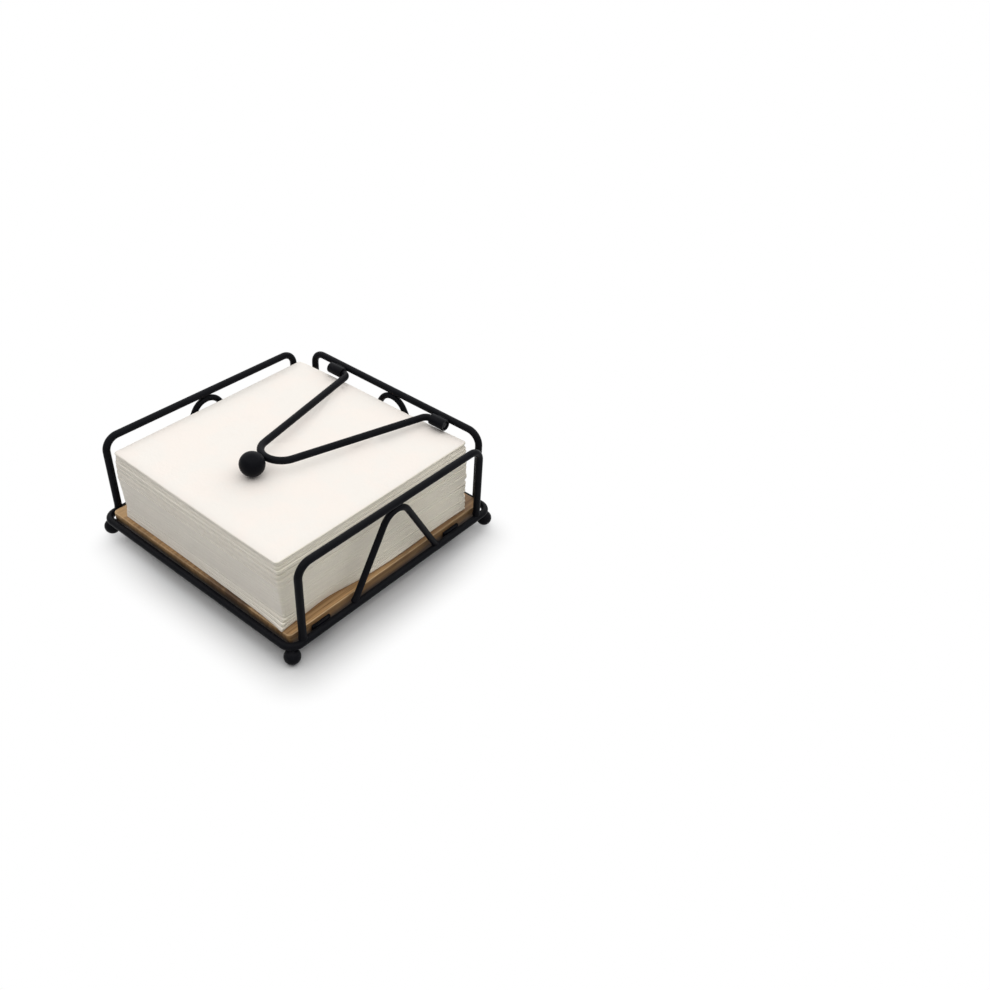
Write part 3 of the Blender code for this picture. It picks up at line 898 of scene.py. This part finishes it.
NAPKIN_SLACK = 0.0003
SEAM_DEPTHS = np.array([0.0021, 0.0046, 0.0072, 0.0103, 0.0142])
SEAM_REACH = 0.0007
BUNDLE_LEDGES = np.array([0, 1.0, 2.3, 3.2, 4.0, 4.5])
BUNDLE_TURNS = np.array([0, -0.0015, 0.0012, -0.0008, 0.0010, 0])
FOOT_HEIGHT = 0.0042
FANNED_PAIRS = 3
SPREAD_NAPKINS = 7
PARTED_AT_FOOT = (1, 3, 5)
RUFFLE_PITCH = 0.0034
RUFFLE_DRIFT = 0.0117
FOOT_FROM_LEFT = 0.0035
FOOT_FROM_REAR = 0.0098
BELLY = (0.005, 0.038)
HOLLOW = (-0.045, 0.018)
TIP_REACH = 0.010
GROOVE_REACH = 0.030
RUFFLED_FROM = 0.068
RUFFLED_RISE = 0.012
JUT_SCATTER = 0.00003
TURN_SCATTER = 0.0003
DROOP_DEPTH = 0.006
SUNK_WIDTH = 0.006
LEAF_RIPPLE = 0.00012
EDGE_RIPPLE = 0.00003
PAPER_CREASE = 75.0


def ripples(travelled, perimeter, waves, seed):
    """A smooth wave about 1 high round an outline: a sum of sines of whole wave numbers, seeded."""
    draw = np.random.default_rng(seed)
    number = draw.integers(waves[0], waves[1], 6)
    phase = draw.uniform(0, 2 * np.pi, 6)
    return np.sin(travelled[:, None] * number * 2 * np.pi / perimeter + phase).sum(1) / 2.6


def across_napkin(points, half):
    """Place on a napkin: u from 0 at the left to 1 at the right, v from 0 at the front to 1 at the rear."""
    return (points / half + 1).T / 2


def drawn_out(points, half, right, left, rear, front):
    """How far points move when each side of the outline stands out by its own distance.

    A point at (u, v) moves by (u right - (1 - u) left, v rear - (1 - v) front).
    """
    u, v = across_napkin(points, half)
    return np.stack([u * right - (1 - u) * left, v * rear - (1 - v) * front], -1)


def laid_askew(points, half):
    """How far points move when the rear left corner is pulled to the left, the sides staying straight."""
    u, v = across_napkin(points, half)
    right = 0.0005 * (1 - v)
    left = 0.0008 + 0.0030 * v
    rear = 0.0050 * u - 0.0040
    front = 0.0015 * u - 0.0005
    return drawn_out(points, half, right, left, rear, front)


def folded_napkin(
    look, half, centre, thickness, seed, reach, groove, lift, turn=0.0, inner_rows=0, sharp=0.0
):
    """One folded napkin: rows of an edge section carried round a rounded rectangle moved by its reach.

    The section is a part of an ellipse, inset g t (1 - cos f) and height t / 2 sin f for f from -85 to 85
    degrees, where g is the groove's share of the thickness t; on the open sides each row is also set back
    by its own ripple, as the leaves of the fold are. The flat faces are the same outline drawn in towards
    the middle.
    """
    draw = np.random.default_rng(seed)
    corner = look.corner * (1 - sharp) * draw.uniform(0.95, 1.07)
    points, normals = rounded_rectangle(half[0], half[1], corner, 40, 7)
    points = points + reach(points)
    travelled = lengths_along(np.concatenate([points, points[:1]]))
    travelled, perimeter = travelled[:-1], travelled[-1]
    open_side = np.clip(np.clip(normals[:, 0] * 1.5, 0, 1) + np.clip(normals[:, 1] * 1.2, 0, 1), 0.15, 1)
    fold = np.radians([-85, -52, -24, 0, 24, 52, 85])
    depth = groove(points) * draw.uniform(0.75, 1.3)
    leaf = np.stack([ripples(travelled, perimeter, (9, 46), (seed, row)) for row in range(len(fold))])
    inset = thickness * depth * (1 - np.cos(fold))[:, None]
    inset = inset + LEAF_RIPPLE * np.minimum(depth, 0.5) * leaf * open_side
    inset += EDGE_RIPPLE * ripples(travelled, perimeter, (3, 20), (seed, 90))
    height = thickness / 2 * np.sin(fold)[:, None] + np.zeros(len(points))
    edge = points[None] - normals[None] * inset[:, :, None]
    draw_in = np.array([0.985, 0.93])
    if inner_rows:
        draw_in = np.concatenate([[0.994, 0.985, 0.974, 0.96], np.linspace(0.94, 0.03, inner_rows)])
    rows = len(draw_in)
    under = edge[:1] * draw_in[::-1, None, None]
    over = edge[-1:] * draw_in[:, None, None]
    flat = np.concatenate([under, edge, over])
    turn = turn + draw.normal(0, TURN_SCATTER)
    moved = flat @ np.array([[math.cos(turn), math.sin(turn)], [-math.sin(turn), math.cos(turn)]])
    moved = moved + centre[:2] + draw.normal(0, look.scatter, 2)
    levels = np.concatenate([np.repeat(height[:1], rows, 0), height, np.repeat(height[-1:], rows, 0)])
    z = centre[2] + levels + lift(moved)
    grid = np.concatenate([moved, z[:, :, None]], -1)
    fading = np.zeros(rows) if inner_rows else np.linspace(0, 0.6, rows)
    rim = np.concatenate([fading, np.ones(len(fold)), fading[::-1]])
    marks = {
        "edge": np.repeat(rim[:, None], len(points), 1),
        "cut": rim[:, None] * open_side,
        "tone": np.full(grid.shape[:2], draw.uniform(0, 1)),
    }
    return grid, marks


def pile_wave(half, centre, amount, corner_lift, droop, sway=0.0):
    """Lift of the paper over the pile, as a function of place.

    It adds slow waves across X and Y, none under the ball, a raised front corner, edges that sink by the
    square of how near they are, and a sway that runs along the sides.
    """
    def lift(place):
        x, y = place[..., 0], place[..., 1]
        wave = np.sin(x * 37 + 0.6) * np.sin(y * 31 + 1.1) + 0.6 * np.sin(x * 61 + y * 23 + 2.0)
        away = 1 - np.exp(-((x / 0.035) ** 2 + ((y + 0.03) / 0.045) ** 2))
        corner = np.exp(-np.hypot(x - 0.078, y + 0.080) / 0.022)
        inward = np.minimum(half[0] - np.abs(x - centre[0]), half[1] - np.abs(y - centre[1]))
        sunk = np.clip(1 - inward / SUNK_WIDTH, 0, 1) ** 2
        along = np.sin(x * 52 + y * 47 + 40 * centre[2]) + 0.6 * np.sin(x * 95 - y * 83 + 65 * centre[2])
        return amount * wave * away + corner_lift * corner - droop * sunk + sway * along
    return lift


class HOLDER_OT_napkin_stack(bpy.types.Operator):
    """Pile up the folded napkins, in loose bundles at the top and spread at the foot"""

    bl_idname = "holder.napkin_stack"
    bl_label = "Napkin Stack"

    def execute(self, context):
        look = context.scene.holder_napkins
        low, high = box_of("napkin_stack")
        top_low, top_high = box_of("top_napkin")
        half = (top_high - top_low)[:2] / 2 - NAPKIN_SLACK
        top_middle = (top_low + top_high)[:2] / 2
        draw = np.random.default_rng(11)
        pitches = draw.uniform(0.88, 1.12, look.count)
        pitches *= (high[2] - low[2]) / pitches.sum()
        levels = low[2] + np.cumsum(pitches) - pitches / 2
        ledges = look.ledge * BUNDLE_LEDGES
        shells, all_marks = [], {"edge": [], "cut": [], "tone": []}
        for index in range(look.count):
            level = levels[index]
            depth = high[2] - level
            down = depth / (high[2] - low[2])
            bundle = int(np.sum(depth > SEAM_DEPTHS))
            at_seam = np.min(np.abs(depth - SEAM_DEPTHS)) < SEAM_REACH
            foot = np.exp(-(level - low[2]) / FOOT_HEIGHT)
            fan = max(0.0, 1 - index // 2 / FANNED_PAIRS)
            spread = max(0.0, 1 - index / SPREAD_NAPKINS)
            seam = 0.26 if at_seam else 0.06
            at_seam = at_seam or index in PARTED_AT_FOOT
            drift = 1.9 * math.sin(level * 2 * math.pi / RUFFLE_DRIFT)
            beat = level * 2 * math.pi / RUFFLE_PITCH + drift
            wave = look.ruffle * math.sin(beat) * draw.uniform(0.35, 1.0)
            jut = ledges[bundle] + draw.normal(0, JUT_SCATTER)
            lean = [look.lean_right * down, -look.lean_front * down]
            centre = np.array([*(top_middle + lean), level])

            def reach(points, down=down, foot=foot, fan=fan, spread=spread, wave=wave, jut=jut):
                """How far the outline moves from the top napkin's as each side stands out at that level.

                At the foot the right side bulges and hollows by two bells along Y, and the front corner
                spreads as exp(-d / r), where d is the distance to it along both sides.
                """
                y = points[:, 1]
                u, v = across_napkin(points, half)
                belly = hump(y, *BELLY)
                hollow = hump(y, *HOLLOW)
                near_rear = np.clip((y - RUFFLED_FROM) / RUFFLED_RISE, 0, 1)
                tip = np.exp(-(half[0] - points[:, 0] + half[1] + y) / TIP_REACH)
                flared = foot * (1.6 * belly - 1.6 * hollow - 0.35) + fan * (0.1 + 1.25 * tip)
                right = 0.8 * jut + look.skew * down * v + wave * near_rear + look.flare * flared
                front = jut + look.flare * (0.7 * spread + fan * (1.5 * u ** 2 + 1.1 * tip))
                left = -FOOT_FROM_LEFT * down
                rear = wave - FOOT_FROM_REAR * down
                moved = drawn_out(points, half, right, left, rear, front)
                return moved + (1 - down) * laid_askew(points, half)

            def groove(points, at_seam=at_seam, seam=seam, share=draw.choice([0.03, 0.04, 0.05, 0.11])):
                """Depth of the groove between napkins as a share of their thickness.

                At a seam it grows towards the front corner as exp(-d / r), d being the distance to it.
                """
                away = np.hypot(points[:, 0] - half[0], points[:, 1] + half[1])
                corner = np.exp(-away / GROOVE_REACH)
                return seam + 0.8 * corner if at_seam else np.full(len(points), share)

            thin = 0.74 if at_seam else 0.98
            grid, marks = folded_napkin(
                look, half, centre, pitches[index] * thin, 100 + index, reach, groove,
                pile_wave(
                    half, centre, 0.0003 * (1 - down) ** 2, 0.0006 * max(0, 4 - bundle) / 4,
                    look.droop * math.exp(-depth / DROOP_DEPTH), 0.00014 * math.sin(math.pi * down),
                ),
                BUNDLE_TURNS[bundle], 12 if index == look.count - 1 else 0, 0.7 * fan,
            )
            shells.append((grid, False))
            for label, mark in marks.items():
                all_marks[label].append(mark)
        piece(
            "folded_napkin_stack", shells, white_tissue(), "stack", ["napkin_stack"],
            all_marks, PAPER_CREASE,
        )
        return {"FINISHED"}


class HOLDER_OT_top_napkin(bpy.types.Operator):
    """Lay the top napkin, folded and softly waved"""

    bl_idname = "holder.top_napkin"
    bl_label = "Top Napkin"

    def execute(self, context):
        look = context.scene.holder_napkins
        low, high = box_of("top_napkin")
        middle = (low + high) / 2
        half = (high - low)[:2] / 2
        grid, marks = folded_napkin(
            look, half, middle, (high[2] - low[2]) * 0.92, 777,
            lambda points: laid_askew(points, half), lambda points: np.full(len(points), 0.45),
            pile_wave(half, middle, 0.0003, 0.0007, look.droop), inner_rows=24,
        )
        marks = {label: [mark] for label, mark in marks.items()}
        piece(
            "folded_top_napkin", [(grid, False)], white_tissue(), "top_sheet", ["top_napkin"],
            marks, PAPER_CREASE,
        )
        return {"FINISHED"}


# Stage. The floor keeps the shadow in a rounded square, trimmed at the left and right corners.

SHADOW_MIDDLE = (0.009, -0.004, 0.0)
SHADOW_HALF = (0.085, 0.085, 1.0)
SHADOW_FADE = (0.003, 0.036)
CORNER_TRIM = 0.0095
CORNER_REACH = (0.0, 0.095)
TO_FRONT_CORNER = (1.0, -1.0, 0.0)
FLOOR_RINGS = np.array([0.0005, 0.2, 0.5, 1.2, 3.0, 8.0])
FLOOR_SIDES = 64
FLOOR_LEVEL = -0.0002
WHITE = (1.0, 1.0, 1.0, 1.0)


def seen_directly(start):
    """1 for rays that show the background itself: camera, glossy and transmission rays."""
    kinds = ("Is Camera Ray", "Is Glossy Ray", "Is Transmission Ray")
    camera, glossy, through = (start.add("ShaderNodeLightPath", None, None, kind) for kind in kinds)
    return start.math("MAXIMUM", start.math("MAXIMUM", camera, glossy), through)


def pale_floor():
    """Matt white that keeps the shadow near the object and goes over to plain white further out."""
    look = bpy.context.scene.holder_stage
    material, start, place = new_finish("pale_floor")
    beyond = place.vector("SUBTRACT", SHADOW_MIDDLE).vector("ABSOLUTE").vector("SUBTRACT", SHADOW_HALF)
    beyond = beyond.vector("MAXIMUM", (0.0, 0.0, 0.0)).vector("LENGTH", output="Value")
    frontwards = place.vector("DOT_PRODUCT", TO_FRONT_CORNER, "Value")
    trimmed = (1 - frontwards.step(*CORNER_REACH)) * CORNER_TRIM
    away = (beyond + trimmed).step(*SHADOW_FADE)
    matt = start.add("ShaderNodeBsdfDiffuse", None, {"Color": (*look.floor, 1.0)})
    lit = start.add("ShaderNodeBsdfDiffuse", None, {"Color": (*look.lit_floor, 1.0)})
    white = start.add("ShaderNodeEmission", None, {"Color": WHITE, "Strength": 1.0})
    shown = start.add("ShaderNodeMixShader", None, {0: away, 1: lit, 2: white})
    floor = start.add("ShaderNodeMixShader", None, {0: seen_directly(start), 1: matt, 2: shown})
    start.add("ShaderNodeOutputMaterial", None, {"Surface": floor})
    return material


class HOLDER_OT_stage(bpy.types.Operator):
    """Set the floor, the light and the camera"""

    bl_idname = "holder.stage"
    bl_label = "Stage"

    def execute(self, context):
        scene = context.scene
        look = scene.holder_stage
        rings = FLOOR_RINGS[:, None, None] * circle(FLOOR_SIDES)
        disc = np.concatenate([rings, np.full((len(rings), FLOOR_SIDES, 1), FLOOR_LEVEL)], -1)
        vertices, quads, caps = shell(disc)
        mesh = bpy.data.meshes.new("stage_floor")
        mesh.from_pydata(vertices, [], quads.tolist() + [caps[0].tolist()])
        mesh.materials.append(pale_floor())
        floor = placed("stage_floor", mesh)

        world = bpy.data.worlds.new("studio")
        world.use_nodes = True
        world.node_tree.nodes.clear()
        start = Tone(world.node_tree)
        tint = (*look.sky_colour, 1.0)
        sky = start.add("ShaderNodeBackground", None, {"Color": tint, "Strength": look.sky})
        white = start.add("ShaderNodeBackground", None, {"Color": WHITE, "Strength": 1.0})
        both = start.add("ShaderNodeMixShader", None, {0: seen_directly(start), 1: sky, 2: white})
        start.add("ShaderNodeOutputWorld", None, {"Surface": both})
        scene.world = world

        lamp = bpy.data.lights.new("overhead_lamp", "SUN")
        lamp.energy = look.lamp_power
        lamp.angle = look.lamp_spread
        lamp.color = look.lamp_colour
        overhead = placed("overhead_lamp", lamp)
        overhead.rotation_euler = look.lamp_from.to_track_quat("Z", "Y").to_euler()

        camera = bpy.data.cameras.new("photo_camera")
        camera.lens = look.lens
        camera.sensor_width = 36.0
        camera.clip_start = 0.01
        viewer = placed("photo_camera", camera)
        viewer.location = look.eye
        viewer.rotation_euler = look.aim
        scene.camera = viewer
        scene.view_settings.view_transform = "Standard"
        return {"FINISHED"}


BUILD_ORDER = (
    HOLDER_OT_stage, HOLDER_OT_base_ring, HOLDER_OT_feet, HOLDER_OT_straps, HOLDER_OT_board,
    HOLDER_OT_rails, HOLDER_OT_braces, HOLDER_OT_sleeves, HOLDER_OT_arm, HOLDER_OT_napkin_stack,
    HOLDER_OT_top_napkin,
)
SETTINGS = {
    "holder_wire": WireSettings,
    "holder_arm": ArmSettings,
    "holder_board": BoardSettings,
    "holder_napkins": NapkinSettings,
    "holder_stage": StageSettings,
}


class HOLDER_PT_sidebar(bpy.types.Panel):
    """Lists the pieces and their settings"""

    bl_idname = "HOLDER_PT_sidebar"
    bl_label = "Napkin Holder"
    bl_space_type = "VIEW_3D"
    bl_region_type = "UI"
    bl_category = "Napkin Holder"

    def draw(self, context):
        for operator in BUILD_ORDER:
            self.layout.operator(operator.bl_idname)
        for name, group in SETTINGS.items():
            box = self.layout.box()
            box.label(text=group.__doc__)
            for key in group.__annotations__:
                box.prop(getattr(context.scene, name), key)


CLASSES = (*SETTINGS.values(), *BUILD_ORDER, HOLDER_PT_sidebar)


def register():
    for item in CLASSES:
        bpy.utils.register_class(item)
    for name, group in SETTINGS.items():
        setattr(bpy.types.Scene, name, bpy.props.PointerProperty(type=group))


def unregister():
    for name in SETTINGS:
        delattr(bpy.types.Scene, name)
    for item in reversed(CLASSES):
        bpy.utils.unregister_class(item)


def main():
    """Builds every piece in order."""
    register()
    for operator in BUILD_ORDER:
        group, name = operator.bl_idname.split(".")
        getattr(getattr(bpy.ops, group), name)()


if __name__ == "__main__":
    main()
